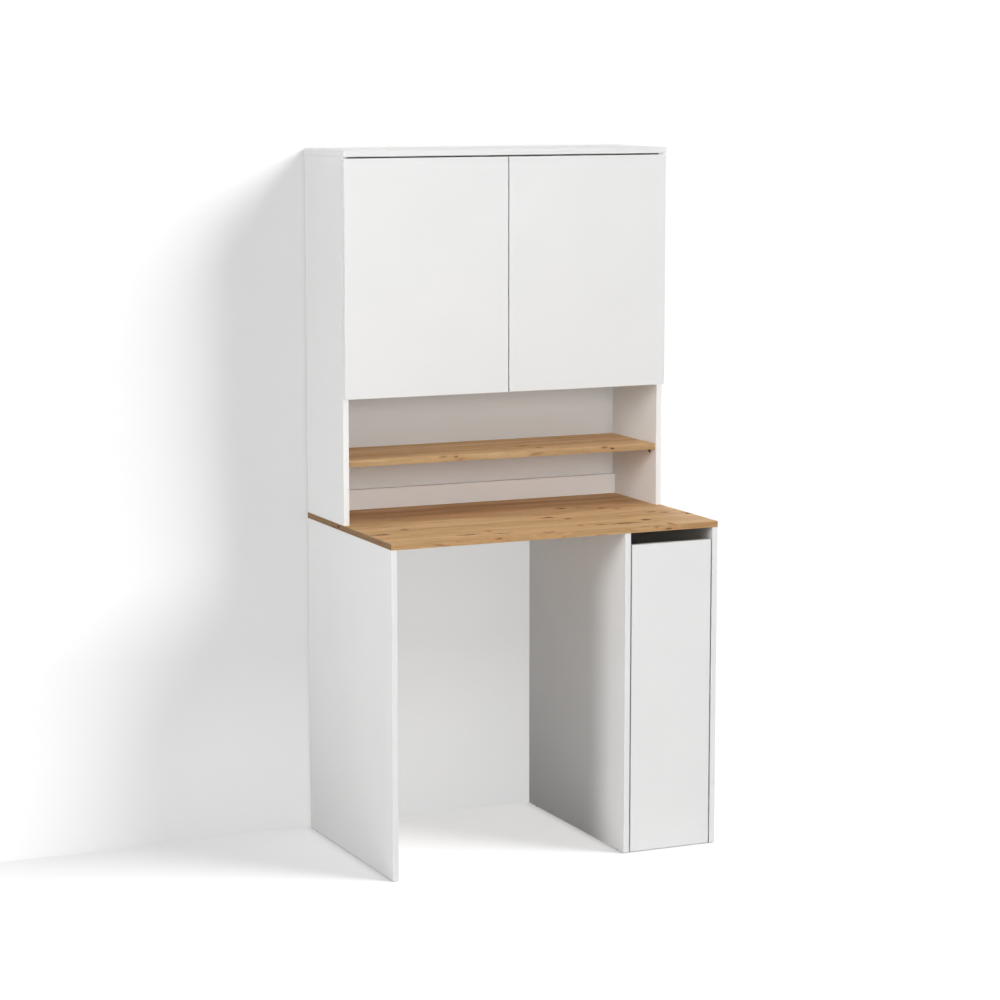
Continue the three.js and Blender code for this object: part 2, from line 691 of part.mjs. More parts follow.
// The arm: a channel over the riser, cranked at its neck to reach into the cup.
function hingeArm(name, level) {
  const heel = PLATE_THICKNESS + ARM_LIFT;
  const outline = new THREE.Shape();
  outline.moveTo(heel, ARM_REAR);
  outline.lineTo(heel, NECK_REAR);
  outline.quadraticCurveTo(NECK_HEEL, NECK_REAR / 2, NECK_HEEL, 0);
  outline.quadraticCurveTo(NECK_HEEL, -NECK_TIP, NECK_TIP_LOW, -NECK_TIP);
  outline.lineTo(NECK_TIP_HIGH, -NECK_TIP);
  outline.quadraticCurveTo(ARM_TOP + NECK_CROWN, -NECK_TIP / 2, ARM_TOP + NECK_CROWN, 0);
  outline.quadraticCurveTo(ARM_TOP + NECK_CROWN, NECK_REAR, ARM_TOP, 2 * NECK_REAR);
  outline.lineTo(ARM_TOP, ARM_REAR - ARM_TAIL_LENGTH);
  outline.lineTo(ARM_TAIL_TOP, ARM_REAR);
  const slot = new THREE.Shape();
  slot.moveTo(heel - OVERRUN, ARM_REAR + OVERRUN);
  slot.lineTo(heel - OVERRUN, NECK_REAR);
  slot.lineTo(ARM_TOP - ARM_WALL, NECK_REAR + ARM_WALL);
  slot.lineTo(ARM_TOP - ARM_WALL, ARM_REAR - ARM_TAIL_LENGTH - ARM_WALL);
  slot.lineTo(ARM_TAIL_TOP - ARM_WALL, ARM_REAR);
  slot.lineTo(ARM_TAIL_TOP - ARM_WALL, ARM_REAR + OVERRUN);
  const drawnUp = (shape, width) => placed(
    new THREE.ExtrudeGeometry(shape, { depth: width, bevelEnabled: false, curveSegments: SMALL_SIDES / 2 }),
    AXES,
    [SIDE_FACE, UPPER_FRONT, level - width / 2],
  );
  const channel = cut(drawnUp(outline, ARM_WIDTH), [drawnUp(slot, ARM_WIDTH - 2 * ARM_WALL)]);
  return piece(name, channel, nickelSteel());
}

function doors() {
  const leftPieces = [door(), doorBumper()];
  for (const [place, level] of hingeLevels) {
    leftPieces.push(hingeCup(`left_${place}_hinge_cup`, level));
    leftPieces.push(hingeArm(`left_${place}_hinge_arm`, level));
    leftPieces.push(hingePlate(`left_${place}_hinge_plate`, level));
  }
  return leftPieces.flatMap((left) => [left, mirrored(left.name.replace('left', 'right'), left)]);
}

function upperUnit() {
  const leftSide = upperSide();
  const sides = [leftSide, mirrored('upper_right_side', leftSide)];
  return [...sides, topPanel(), ...upperBoards(), ...shelves(), ...doors()];
}

const cabinet = new THREE.Group();
cabinet.add(...lowerFrame(), bayRail(), ...compartment(), worktop());
cabinet.add(pulloutFront(), ...bin(), ...runners());
cabinet.add(...upperUnit());

export default cabinet;
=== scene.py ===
# Looks of the laundry cabinet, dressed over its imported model.
# Metres, +Z up, front towards -Y, with the origin on the floor at the middle of the footprint.
import json
import math

import bmesh
import bpy
from mathutils import Euler, Matrix, Vector


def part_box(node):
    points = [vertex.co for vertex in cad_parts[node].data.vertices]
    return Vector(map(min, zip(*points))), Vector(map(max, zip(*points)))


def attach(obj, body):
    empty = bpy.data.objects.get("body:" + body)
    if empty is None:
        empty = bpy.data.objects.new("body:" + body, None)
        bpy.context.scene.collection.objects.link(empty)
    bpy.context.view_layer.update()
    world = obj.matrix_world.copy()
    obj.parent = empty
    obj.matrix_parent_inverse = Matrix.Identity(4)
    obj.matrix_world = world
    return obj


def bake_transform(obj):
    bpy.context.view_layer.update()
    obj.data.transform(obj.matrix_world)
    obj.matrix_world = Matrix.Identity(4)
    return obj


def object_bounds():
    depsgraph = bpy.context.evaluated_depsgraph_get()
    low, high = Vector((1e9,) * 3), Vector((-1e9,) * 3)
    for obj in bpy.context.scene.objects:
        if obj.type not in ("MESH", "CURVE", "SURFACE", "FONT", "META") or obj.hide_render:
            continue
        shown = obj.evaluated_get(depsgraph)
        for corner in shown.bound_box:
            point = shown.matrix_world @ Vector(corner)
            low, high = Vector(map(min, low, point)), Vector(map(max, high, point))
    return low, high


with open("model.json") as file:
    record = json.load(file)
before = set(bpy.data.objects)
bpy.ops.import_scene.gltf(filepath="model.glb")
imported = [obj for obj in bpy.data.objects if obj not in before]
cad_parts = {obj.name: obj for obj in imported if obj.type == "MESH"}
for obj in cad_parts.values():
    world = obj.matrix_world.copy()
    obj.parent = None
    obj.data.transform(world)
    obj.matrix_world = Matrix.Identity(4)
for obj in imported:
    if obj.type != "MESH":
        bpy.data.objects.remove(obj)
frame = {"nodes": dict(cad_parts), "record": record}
cad_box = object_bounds()
NODES = frame["nodes"]
BODIES = frame["record"]["behaviour"]["bodies"]
BODY_OF = {node: body for body, nodes in BODIES.items() for node in nodes}
MM = 0.001

# Camera: one perspective fitted to the edges of the boards in the photograph
CAMERA_PLACE = (-3.2250, -7.0670, 2.0753)
CAMERA_YAW = 0.42439
CAMERA_PITCH = 0.14678
CAMERA_LENS = 105.04

# Suns: degrees to the right of the front and above level, degrees that it fills, strength, what it lights
SUNS = {
    "key_light": (52, 28, 30, 0.36, "all"),
    "stage_key": (53, 30, 32, 5.1, "stage"),
}
# Panels light the cabinet alone: degrees to the right and above level, distance, diameter, watts
PANELS = {
    "left_light": (-76, 10, 6.0, 1.2, 133),
    "low_fill": (-84, -20, 2.2, 0.8, 3.3),
    "front_fill": (-1, 9, 8.0, 3.0, 252),
    "top_fill": (0, 80, 5.0, 3.0, 75),
    "right_fill": (96, 10, 6.0, 2.0, 120),
    "rear_fill": (165, 20, 6.0, 3.0, 120),
}
LIGHT_TARGET = (0.0, 0.0, 1.0)
WORLD_LIGHT = 0.15
SUN_DISTANCE = 8.0

# Floor and backdrop
FLOOR_SIZE = 60.0
BACKDROP_SIZE = 24.0
BACKDROP_GAP = 0.004
STAGE_COLOUR = (0.60, 0.60, 0.60, 1)
SEEN_STAGE_COLOUR = (0.45, 0.45, 0.45, 1)
FLOOR_LIFT = 0.58
BACKDROP_LIFT = 0.475
# Painted light: the backdrop shows lighter towards its foot, up to this height
FOOT_HEIGHT = 0.5
PAINTED_FOOT_LIGHT = 0.16
# Painted shade: the lift drops near anything within reach, a contact shadow on the floor and a darker
# backdrop beside the cabinet
CONTACT_REACH = 0.03
CONTACT_SHADE_SHARE = 0.55
CONTACT_SAMPLES = 8
CORNER_REACH = 0.30
CORNER_SHADE_SHARE = 0.16


def build_camera():
    data = bpy.data.cameras.new("camera")
    data.lens = CAMERA_LENS
    camera = bpy.data.objects.new("camera", data)
    camera.location = CAMERA_PLACE
    camera.rotation_euler = Euler((math.pi / 2 - CAMERA_PITCH, 0, -CAMERA_YAW))
    bpy.context.scene.collection.objects.link(camera)
    bpy.context.scene.camera = camera


build_camera()


# Node trees

FACING_LIMIT = 0.8


class Graph:
    """Adds nodes to a tree: each call makes one node and gives back its output."""

    def __init__(self, tree):
        self.tree = tree

    def node(self, kind, inputs=None, **settings):
        made = self.tree.nodes.new(kind)
        for name, value in settings.items():
            setattr(made, name, value)
        for key, value in (inputs or {}).items():
            self.feed(made.inputs[key], value)
        return made

    def feed(self, socket, value):
        if isinstance(value, bpy.types.NodeSocket):
            self.tree.links.new(value, socket)
        else:
            socket.default_value = value

    def math(self, operation, *values):
        return self.node("ShaderNodeMath", dict(enumerate(values)), operation=operation).outputs[0]

    def vector(self, operation, *values):
        made = self.node("ShaderNodeVectorMath", dict(enumerate(values)), operation=operation)
        return made.outputs["Value" if operation in ("LENGTH", "DOT_PRODUCT") else "Vector"]

    def place(self, output="Object"):
        return self.node("ShaderNodeTexCoord").outputs[output]

    def noise(self, place, stretch, detail=3.0, roughness=0.5):
        inputs = {"Vector": self.vector("MULTIPLY", place, stretch), "Scale": 1.0}
        inputs |= {"Detail": detail, "Roughness": roughness}
        return self.node("ShaderNodeTexNoise", inputs).outputs["Fac"]

    def cells(self, place, scale):
        return self.node("ShaderNodeTexVoronoi", {"Vector": place, "Scale": scale}).outputs["Distance"]

    def remap(self, value, low, high, to_low=0.0, to_high=1.0):
        inputs = {"Value": value, "From Min": low, "From Max": high, "To Min": to_low, "To Max": to_high}
        return self.node("ShaderNodeMapRange", inputs).outputs["Result"]

    def blend(self, share, first, second, mode="MIX"):
        inputs = {0: share, 6: first, 7: second}
        return self.node("ShaderNodeMix", inputs, data_type="RGBA", blend_type=mode).outputs[2]

    def facing(self, *directions):
        """1 where a face looks in one of the directions of its own object, and 0 elsewhere."""
        normal = self.place("Normal")
        masks = []
        for direction in directions:
            towards = self.vector("DOT_PRODUCT", normal, direction)
            masks.append(self.math("GREATER_THAN", towards, FACING_LIMIT))
        whole = masks[0]
        for mask in masks[1:]:
            whole = self.math("MAXIMUM", whole, mask)
        return whole

    def bump(self, height, depth):
        inputs = {"Height": height, "Distance": depth, "Strength": 1.0}
        return self.node("ShaderNodeBump", inputs).outputs["Normal"]


def finish(name, **constants):
    """A material, its graph and its shader; constants are the shader's own values."""
    made = bpy.data.materials.new(name)
    made.use_nodes = True
    shader = made.node_tree.nodes["Principled BSDF"]
    for socket, value in constants.items():
        shader.inputs[socket.replace("_", " ")].default_value = value
    return made, Graph(made.node_tree), shader.inputs


# Finishes

FRONT = (0, -1, 0)
REAR = (0, 1, 0)
BELOW = (0, 0, -1)
ENDS = ((1, 0, 0), (-1, 0, 0))
CHIP_SCALE = 420
CHIP_DARK = (0.30, 0.19, 0.10, 1)
CHIP_LIGHT = (0.66, 0.50, 0.33, 1)
# Painted light: a whiter colour on the front edges of the upper sides, standing in for the light that they
# catch
PAINTED_LIGHT_BAND = (0.930, 0.930, 0.926, 1)


def chipboard_colour(graph, place):
    """Pressed wood chips, as a cut edge shows them."""
    chips = graph.cells(place, CHIP_SCALE)
    flakes = graph.noise(place, (260, 700, 260), 4.0, 0.7)
    tone = graph.math("ADD", graph.math("MULTIPLY", chips, 0.8), graph.remap(flakes, 0.3, 0.7, -0.3, 0.5))
    return graph.blend(graph.remap(tone, 0.0, 1.0), CHIP_DARK, CHIP_LIGHT)


def white_laminate(name, raw_faces=(), painted_light_faces=()):
    """Matt white laminate with a fine pearl texture.

    raw_faces show the bare chipboard, and the second list of faces is painted lighter, a painted highlight
    for the light that those edges catch.
    """
    made, graph, shader = finish(name, Specular_IOR_Level=0.35)
    place = graph.place()
    cloud = graph.noise(place, (5, 5, 5), 2.0)
    colour = graph.blend(cloud, (0.805, 0.805, 0.803, 1), (0.845, 0.844, 0.840, 1))
    pearl = graph.noise(place, (1500, 1500, 1500), 2.0, 0.6)
    handled = graph.noise(place, (14, 14, 9), 4.0, 0.65)
    roughness = graph.remap(handled, 0.3, 0.7, 0.40, 0.50)
    depth = graph.math("MULTIPLY", pearl, 0.4)
    # Painted light on the listed faces
    if painted_light_faces:
        colour = graph.blend(graph.facing(*painted_light_faces), colour, PAINTED_LIGHT_BAND)
    if raw_faces:
        raw = graph.facing(*raw_faces)
        colour = graph.blend(raw, colour, chipboard_colour(graph, place))
        roughness = graph.math("MAXIMUM", roughness, graph.math("MULTIPLY", raw, 0.85))
        pits = graph.math("MULTIPLY", graph.cells(place, CHIP_SCALE), raw)
        depth = graph.math("ADD", depth, graph.math("MULTIPLY", pits, 6.0))
    graph.feed(shader["Base Color"], colour)
    graph.feed(shader["Roughness"], roughness)
    graph.feed(shader["Normal"], graph.bump(depth, 0.04 * MM))
    return made


def white_hardboard(name):
    """Thin hardboard: a white lacquered front, duller than the laminate, partly the lacquer's own and partly
    painted shade for the niche back, and a bare brown rear.
    """
    made, graph, shader = finish(name, Specular_IOR_Level=0.3)
    place = graph.place()
    cloud = graph.noise(place, (4, 4, 4), 2.0)
    # Partly painted shade: this white is darker than the laminate to stand for the shade on the niche back
    white = graph.blend(cloud, (0.66, 0.66, 0.66, 1), (0.70, 0.70, 0.70, 1))
    fibres = graph.noise(place, (900, 900, 900), 5.0, 0.75)
    specks = graph.noise(place, (150, 150, 150), 3.0, 0.8)
    mottle = graph.noise(place, (9, 9, 9), 4.0, 0.6)
    tone = graph.math("ADD", graph.math("MULTIPLY", fibres, 0.7), graph.math("MULTIPLY", specks, 0.5))
    tone = graph.math("ADD", tone, graph.remap(mottle, 0.3, 0.7, -0.12, 0.12))
    brown = graph.blend(graph.remap(tone, 0.4, 0.8), (0.215, 0.122, 0.062, 1), (0.44, 0.285, 0.165, 1))
    bare = graph.math("SUBTRACT", 1.0, graph.facing(FRONT))
    graph.feed(shader["Base Color"], graph.blend(bare, white, brown))
    graph.feed(shader["Roughness"], graph.math("ADD", graph.math("MULTIPLY", bare, 0.25), 0.5))
    graph.feed(shader["Normal"], graph.bump(fibres, 0.05 * MM))
    return made


# How fast a mark and the warm halo round it fade, and how far the grain parts across it
CORE_FALL = -1.6
HALO_FALL = -0.22
GRAIN_PARTING = (0, 0.9, 0.9)


def mark_group():
    """One dark mark in the wood: how strongly it shows at a place, and how it parts the grain."""
    tree = bpy.data.node_groups.new("wood_mark", "ShaderNodeTree")
    for label in ("Place", "Centre", "Size"):
        tree.interface.new_socket(label, in_out="INPUT", socket_type="NodeSocketVector")
    tree.interface.new_socket("Depth", in_out="INPUT", socket_type="NodeSocketFloat")
    tree.interface.new_socket("Strength", in_out="OUTPUT", socket_type="NodeSocketFloat")
    tree.interface.new_socket("Halo", in_out="OUTPUT", socket_type="NodeSocketFloat")
    tree.interface.new_socket("Parting", in_out="OUTPUT", socket_type="NodeSocketVector")
    graph = Graph(tree)
    given = graph.node("NodeGroupInput").outputs
    result = graph.node("NodeGroupOutput").inputs
    offset = graph.vector("SUBTRACT", given["Place"], given["Centre"])
    radius = graph.vector("LENGTH", graph.vector("DIVIDE", offset, given["Size"]))
    square = graph.math("MULTIPLY", radius, radius)
    core = graph.math("POWER", math.e, graph.math("MULTIPLY", square, CORE_FALL))
    halo = graph.math("POWER", math.e, graph.math("MULTIPLY", square, HALO_FALL))
    parting = graph.vector("MULTIPLY", offset, GRAIN_PARTING)
    scaled = graph.node("ShaderNodeVectorMath", {0: parting, "Scale": halo}, operation="SCALE")
    graph.feed(result["Strength"], graph.math("MULTIPLY", core, given["Depth"]))
    graph.feed(result["Halo"], graph.math("MULTIPLY", halo, given["Depth"]))
    graph.feed(result["Parting"], scaled.outputs["Vector"])
    return tree


WOOD_MARK = mark_group()

# Dark marks in the oak: x, y, z, half length along the grain, half width, depth of tone
WORKTOP_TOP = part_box("worktop")[1].z
WORKTOP_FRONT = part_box("worktop")[0].y
WORKTOP_MARKS = [
    (0.184, 0.071, WORKTOP_TOP, 0.013, 0.014, 1.00),
    (0.238, 0.064, WORKTOP_TOP, 0.024, 0.009, 0.56),
    (0.120, -0.100, WORKTOP_TOP, 0.013, 0.010, 0.88),
    (0.082, -0.061, WORKTOP_TOP, 0.024, 0.010, 0.94),
    (-0.018, -0.286, WORKTOP_TOP, 0.024, 0.010, 0.81),
    (-0.156, -0.206, WORKTOP_TOP, 0.012, 0.014, 0.69),
    (-0.226, -0.239, WORKTOP_TOP, 0.044, 0.010, 0.75),
    (-0.140, -0.255, WORKTOP_TOP, 0.045, 0.012, 0.50),
    (0.103, -0.215, WORKTOP_TOP, 0.013, 0.010, 0.56),
    (0.337, -0.284, WORKTOP_TOP, 0.008, 0.017, 1.00),
    (0.232, -0.231, WORKTOP_TOP, 0.048, 0.010, 1.00),
    (0.158, -0.224, WORKTOP_TOP, 0.026, 0.007, 0.62),
    (0.306, -0.201, WORKTOP_TOP, 0.017, 0.017, 0.75),
    (0.381, -0.082, WORKTOP_TOP, 0.023, 0.014, 0.62),
    (0.415, -0.106, WORKTOP_TOP, 0.022, 0.010, 0.56),
    (0.461, -0.142, WORKTOP_TOP, 0.012, 0.019, 0.94),
    (0.290, 0.036, WORKTOP_TOP, 0.022, 0.010, 0.69),
    (0.320, 0.010, WORKTOP_TOP, 0.016, 0.009, 0.62),
    (-0.436, -0.148, WORKTOP_TOP, 0.036, 0.014, 0.69),
    (-0.349, -0.095, WORKTOP_TOP, 0.018, 0.015, 0.62),
    (-0.169, WORKTOP_FRONT, 0.877, 0.012, 0.005, 0.66),
    (-0.143, WORKTOP_FRONT, 0.871, 0.010, 0.003, 0.62),
    (0.288, WORKTOP_FRONT, 0.879, 0.015, 0.006, 0.55),
    (0.320, WORKTOP_FRONT, 0.871, 0.011, 0.004, 0.80),
]
SHELF_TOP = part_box("niche_shelf")[1].z
SHELF_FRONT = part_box("niche_shelf")[0].y
SHELF_MARKS = [
    (0.100, 0.140, SHELF_TOP, 0.020, 0.010, 0.75),
    (0.126, 0.096, SHELF_TOP, 0.012, 0.010, 0.88),
    (0.295, SHELF_FRONT, 1.050, 0.016, 0.006, 0.60),
    (0.321, SHELF_FRONT, 1.045, 0.009, 0.003, 1.00),
    (-0.147, SHELF_FRONT, 1.047, 0.012, 0.005, 0.60),
    (-0.181, SHELF_FRONT, 1.050, 0.020, 0.006, 0.48),
]
# A mark on an end face has its first two coordinates swapped, because the grain turns there
END_MARKS = [(0.068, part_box("worktop")[0].x, 0.874, 0.012, 0.004, 0.90)]

OAK_LIGHT = (0.790, 0.550, 0.300, 1)
OAK_MIDDLE = (0.650, 0.415, 0.205, 1)
OAK_DARK = (0.455, 0.258, 0.112, 1)
OAK_WARM = (0.690, 0.370, 0.158, 1)
KNOT_JITTER = (0.030, 0.016, 0.0)
OAK_STREAK = (0.270, 0.132, 0.052, 1)
OAK_MARK = (0.075, 0.032, 0.012, 1)
# Where each board is cut from the pattern, and the painted light and shade on its faces, its front edge and
# its ends (the shelf's faces lighter, the front edges and the ends darker)
WORKTOP_SHIFT = (0, 0, 0)
SHELF_SHIFT = (1.7, 0.43, 0.2)
WORKTOP_PAINTED_SHADES = ((1.0, 1.0, 1.0, 1), (0.83, 0.81, 0.775, 1), (0.36, 0.335, 0.34, 1))
SHELF_PAINTED_SHADES = ((1.28, 1.28, 1.30, 1), (0.76, 0.76, 0.75, 1), (0.56, 0.54, 0.54, 1))


def oak_laminate(name, marks, shift, painted_shades):
    """Knotty oak laminate with its grain along the width, or along an end face.

    The last argument is painted light and shade: the colour of the faces, of the front edge and of the ends
    is scaled by the light each would catch.
    """
    made, graph, shader = finish(name, Specular_IOR_Level=0.25)
    plain = graph.place()
    parts = graph.node("ShaderNodeSeparateXYZ", {"Vector": plain}).outputs
    swapped = {"X": parts["Y"], "Y": parts["X"], "Z": parts["Z"]}
    turned = graph.node("ShaderNodeCombineXYZ", swapped).outputs[0]
    end = graph.facing(*ENDS)
    place = graph.blend(end, plain, turned)

    rough = graph.node("ShaderNodeTexNoise", {"Vector": place, "Scale": 75.0, "Detail": 2.0}).outputs["Color"]
    jitter = graph.vector("MULTIPLY", graph.vector("SUBTRACT", rough, (0.5, 0.5, 0.5)), KNOT_JITTER)
    ragged = graph.vector("ADD", place, jitter)
    strength = 0.0
    halo = 0.0
    bent = place
    for x, y, z, half_length, half_width, depth in marks:
        inputs = {"Place": ragged, "Centre": (x, y, z), "Size": (half_length, half_width, half_width)}
        mark = graph.node("ShaderNodeGroup", node_tree=WOOD_MARK)
        for key, value in (inputs | {"Depth": depth}).items():
            graph.feed(mark.inputs[key], value)
        strength = graph.math("MAXIMUM", strength, mark.outputs["Strength"])
        halo = graph.math("MAXIMUM", halo, mark.outputs["Halo"])
        bent = graph.vector("SUBTRACT", bent, mark.outputs["Parting"])

    bent = graph.vector("ADD", bent, shift)
    wander = graph.remap(graph.noise(bent, (2.2, 5, 5), 2.0), 0.3, 0.7, -0.012, 0.012)
    sway = graph.node("ShaderNodeCombineXYZ", {"X": 0.0, "Y": wander, "Z": wander}).outputs[0]
    grain = graph.vector("ADD", bent, sway)

    bands = graph.noise(grain, (0.9, 21, 21), 3.0, 0.55)
    lines = graph.noise(grain, (2.6, 120, 120), 4.0, 0.6)
    hairs = graph.noise(grain, (9, 520, 520), 3.0, 0.6)
    pores = graph.noise(grain, (38, 1500, 1500), 2.0, 0.5)
    warmth = graph.noise(grain, (1.6, 13, 13), 3.0, 0.6)
    streaks = graph.noise(grain, (3.4, 64, 64), 3.0, 0.55)
    dashes = graph.noise(grain, (13, 170, 170), 2.0, 0.5)

    tone = graph.math("ADD", graph.math("MULTIPLY", bands, 0.45), graph.math("MULTIPLY", lines, 0.38))
    tone = graph.math("ADD", tone, graph.math("MULTIPLY", hairs, 0.17))
    colour = graph.blend(graph.remap(tone, 0.36, 0.52), OAK_DARK, OAK_MIDDLE)
    colour = graph.blend(graph.remap(tone, 0.50, 0.66), colour, OAK_LIGHT)
    colour = graph.blend(graph.remap(warmth, 0.52, 0.72, 0.0, 0.55), colour, OAK_WARM)
    colour = graph.blend(graph.remap(streaks, 0.62, 0.76, 0.0, 0.55), colour, OAK_DARK)
    colour = graph.blend(graph.remap(dashes, 0.62, 0.74, 0.0, 0.70), colour, OAK_STREAK)
    colour = graph.blend(graph.remap(pores, 0.60, 0.72, 0.0, 0.30), colour, OAK_DARK)
    colour = graph.blend(graph.math("MULTIPLY", halo, 0.55), colour, OAK_WARM)
    broken = graph.math("MULTIPLY", strength, graph.remap(lines, 0.25, 0.60, 1.25, 0.75))
    colour = graph.blend(graph.remap(broken, 0.12, 0.60, 0.0, 0.94), colour, OAK_MARK)
    # Painted light and shade: the colour is scaled by which way each face looks
    shaded_by_face = graph.blend(graph.facing(FRONT), painted_shades[0], painted_shades[1])
    colour = graph.blend(1.0, colour, graph.blend(end, shaded_by_face, painted_shades[2]), "MULTIPLY")

    depth = graph.math("SUBTRACT", graph.math("MULTIPLY", hairs, 0.5), graph.remap(pores, 0.58, 0.72))
    graph.feed(shader["Base Color"], colour)
    graph.feed(shader["Roughness"], graph.remap(tone, 0.3, 0.7, 0.74, 0.60))
    graph.feed(shader["Normal"], graph.bump(depth, 0.08 * MM))
    return made


def drawn_metal(name, colour, low, high, stretch, metallic=1.0):
    """Plated steel: fine draw lines along the stretch, and a slightly clouded gloss."""
    made, graph, shader = finish(name, Metallic=metallic)
    place = graph.place()
    lines = graph.noise(place, stretch, 3.0, 0.6)
    cloud = graph.noise(place, (60, 60, 60), 4.0, 0.65)
    darker = tuple(share * 0.82 for share in colour) + (1,)
    graph.feed(shader["Base Color"], graph.blend(graph.remap(cloud, 0.3, 0.7), darker, (*colour, 1)))
    graph.feed(shader["Roughness"], graph.remap(lines, 0.3, 0.7, low, high))
    graph.feed(shader["Normal"], graph.bump(lines, 0.02 * MM))
    return made


def moulded(name, colour, roughness, **constants):
    """A moulded plastic or rubber with a fine spark-eroded texture."""
    made, graph, shader = finish(name, **constants)
    place = graph.place()
    cloud = graph.noise(place, (90, 90, 90), 3.0)
    darker = tuple(share * 0.9 for share in colour) + (1,)
    graph.feed(shader["Base Color"], graph.blend(cloud, darker, (*colour, 1)))
    graph.feed(shader["Roughness"], graph.remap(cloud, 0.3, 0.7, roughness, roughness + 0.12))
    graph.feed(shader["Normal"], graph.bump(graph.noise(place, (2600, 2600, 2600), 2.0), 0.02 * MM))
    return made


FINISHES = {
    "white_laminate": white_laminate("white_laminate"),
    "white_hardboard": white_hardboard("white_hardboard"),
    "zinc_steel": drawn_metal("zinc_steel", (0.60, 0.61, 0.63), 0.28, 0.42, (900, 12, 900)),
    "nickel_steel": drawn_metal("nickel_steel", (0.66, 0.65, 0.62), 0.16, 0.28, (300, 40, 300)),
    "dark_metal": drawn_metal("dark_metal", (0.10, 0.085, 0.07), 0.32, 0.48, (200, 200, 200), 0.8),
    "clear_rubber": moulded("clear_rubber", (0.80, 0.80, 0.78), 0.3, Transmission_Weight=0.6, IOR=1.45),
    "grey_plastic": moulded("grey_plastic", (0.30, 0.30, 0.29), 0.5),
    "white_plastic": moulded("white_plastic", (0.78, 0.78, 0.77), 0.34),
}
RAW_REAR = white_laminate("white_laminate_raw_rear", [REAR])
RAW_REAR_AND_FOOT = white_laminate("white_laminate_raw_rear_and_foot", [REAR, BELOW])
RAW_FOOT = white_laminate("white_laminate_raw_foot", [BELOW])
# The front edges of the upper sides get painted light
PAINTED_LIGHT_FRONT = white_laminate("white_laminate_painted_light_front", [REAR], [FRONT])
BOARD_FINISHES = {
    "worktop": oak_laminate("oak_worktop", WORKTOP_MARKS + END_MARKS, WORKTOP_SHIFT, WORKTOP_PAINTED_SHADES),
    "niche_shelf": oak_laminate("oak_shelf", SHELF_MARKS, SHELF_SHIFT, SHELF_PAINTED_SHADES),
    "left_side_panel": RAW_REAR_AND_FOOT,
    "partition_panel": RAW_REAR_AND_FOOT,
    "right_side_panel": RAW_REAR_AND_FOOT,
    "upper_left_side": PAINTED_LIGHT_FRONT,
    "upper_right_side": PAINTED_LIGHT_FRONT,
    "top_panel": RAW_REAR,
    "bay_rear_rail": RAW_FOOT,
    "cupboard_shelf": RAW_REAR,
    "bin_base": RAW_REAR,
}


# Shading of the carried-over nodes

SHARP_ANGLE = math.radians(50)
WELD_DISTANCE = 0.001 * MM


def smooth_group():
    """Faces shade smooth, and edges sharper than SHARP_ANGLE stay sharp."""
    tree = bpy.data.node_groups.new("smooth_by_angle", "GeometryNodeTree")
    tree.interface.new_socket("Geometry", in_out="INPUT", socket_type="NodeSocketGeometry")
    tree.interface.new_socket("Geometry", in_out="OUTPUT", socket_type="NodeSocketGeometry")
    graph = Graph(tree)
    given = graph.node("NodeGroupInput").outputs[0]
    faces = graph.node("GeometryNodeSetShadeSmooth", {"Geometry": given, "Shade Smooth": True}, domain="FACE")
    angle = graph.node("GeometryNodeInputMeshEdgeAngle").outputs["Unsigned Angle"]
    compare = graph.node("FunctionNodeCompare", {0: angle, 1: SHARP_ANGLE}, operation="GREATER_THAN")
    inputs = {"Geometry": faces.outputs[0], "Selection": compare.outputs[0], "Shade Smooth": False}
    edges = graph.node("GeometryNodeSetShadeSmooth", inputs, domain="EDGE")
    graph.feed(graph.node("NodeGroupOutput").inputs[0], edges.outputs[0])
    return tree


SMOOTH = smooth_group()


def soften(piece):
    """Welds the facets, and lets the narrow eased edges shade as round ones."""
    weld = piece.modifiers.new("weld", "WELD")
    weld.merge_threshold = WELD_DISTANCE
    piece.modifiers.new("smooth", "NODES").node_group = SMOOTH
    weighted = piece.modifiers.new("weighted", "WEIGHTED_NORMAL")
    weighted.keep_sharp = True


def dress_nodes():
    slots = {row["node"]: row["material_slot"] for row in frame["record"]["subparts"]}
    for name, piece in NODES.items():
        piece.data.materials.clear()
        piece.data.materials.append(None)
        piece.material_slots[0].link = "OBJECT"
        piece.material_slots[0].material = BOARD_FINISHES.get(name) or FINISHES[slots[name]]
        soften(piece)


dress_nodes()


# Small fittings

# Outlines of the sockets, and profiles of the heads, as shares of the radius and of the height
CROSS = [(0.13, 0.13), (0.13, 0.52), (-0.13, 0.52), (-0.13, 0.13), (-0.52, 0.13), (-0.52, -0.13)]
CROSS += [(-x, -y) for x, y in CROSS]
HEXAGON_TURNS = [step * math.pi / 3 for step in range(6)]
HEXAGON = [(0.42 * math.cos(turn), 0.42 * math.sin(turn)) for turn in HEXAGON_TURNS]
SOCKET_TAPER = 0.85
HEAD_SIDES = 32
HEAD_PROFILE = [(1.0, 0.0), (1.0, 0.45), (0.9, 0.82), (0.72, 1.0)]
ROD_PROFILE = [(1.0, 0.0), (1.0, 1.0)]


def ring(bm, points, height):
    return [bm.verts.new((x, y, height)) for x, y in points]


def skirt(bm, outer, inner):
    for step, corner in enumerate(outer):
        following = (step + 1) % len(outer)
        bm.faces.new((corner, outer[following], inner[following], inner[step]))


def mesh_from(bm, name):
    mesh = bpy.data.meshes.new(name)
    bm.to_mesh(mesh)
    bm.free()
    return mesh


def add_piece(name, mesh, slot):
    """Puts a mesh in the scene with the finish of a slot."""
    mesh.materials.append(FINISHES[slot])
    piece = bpy.data.objects.new(name, mesh)
    bpy.context.scene.collection.objects.link(piece)
    soften(piece)
    return piece


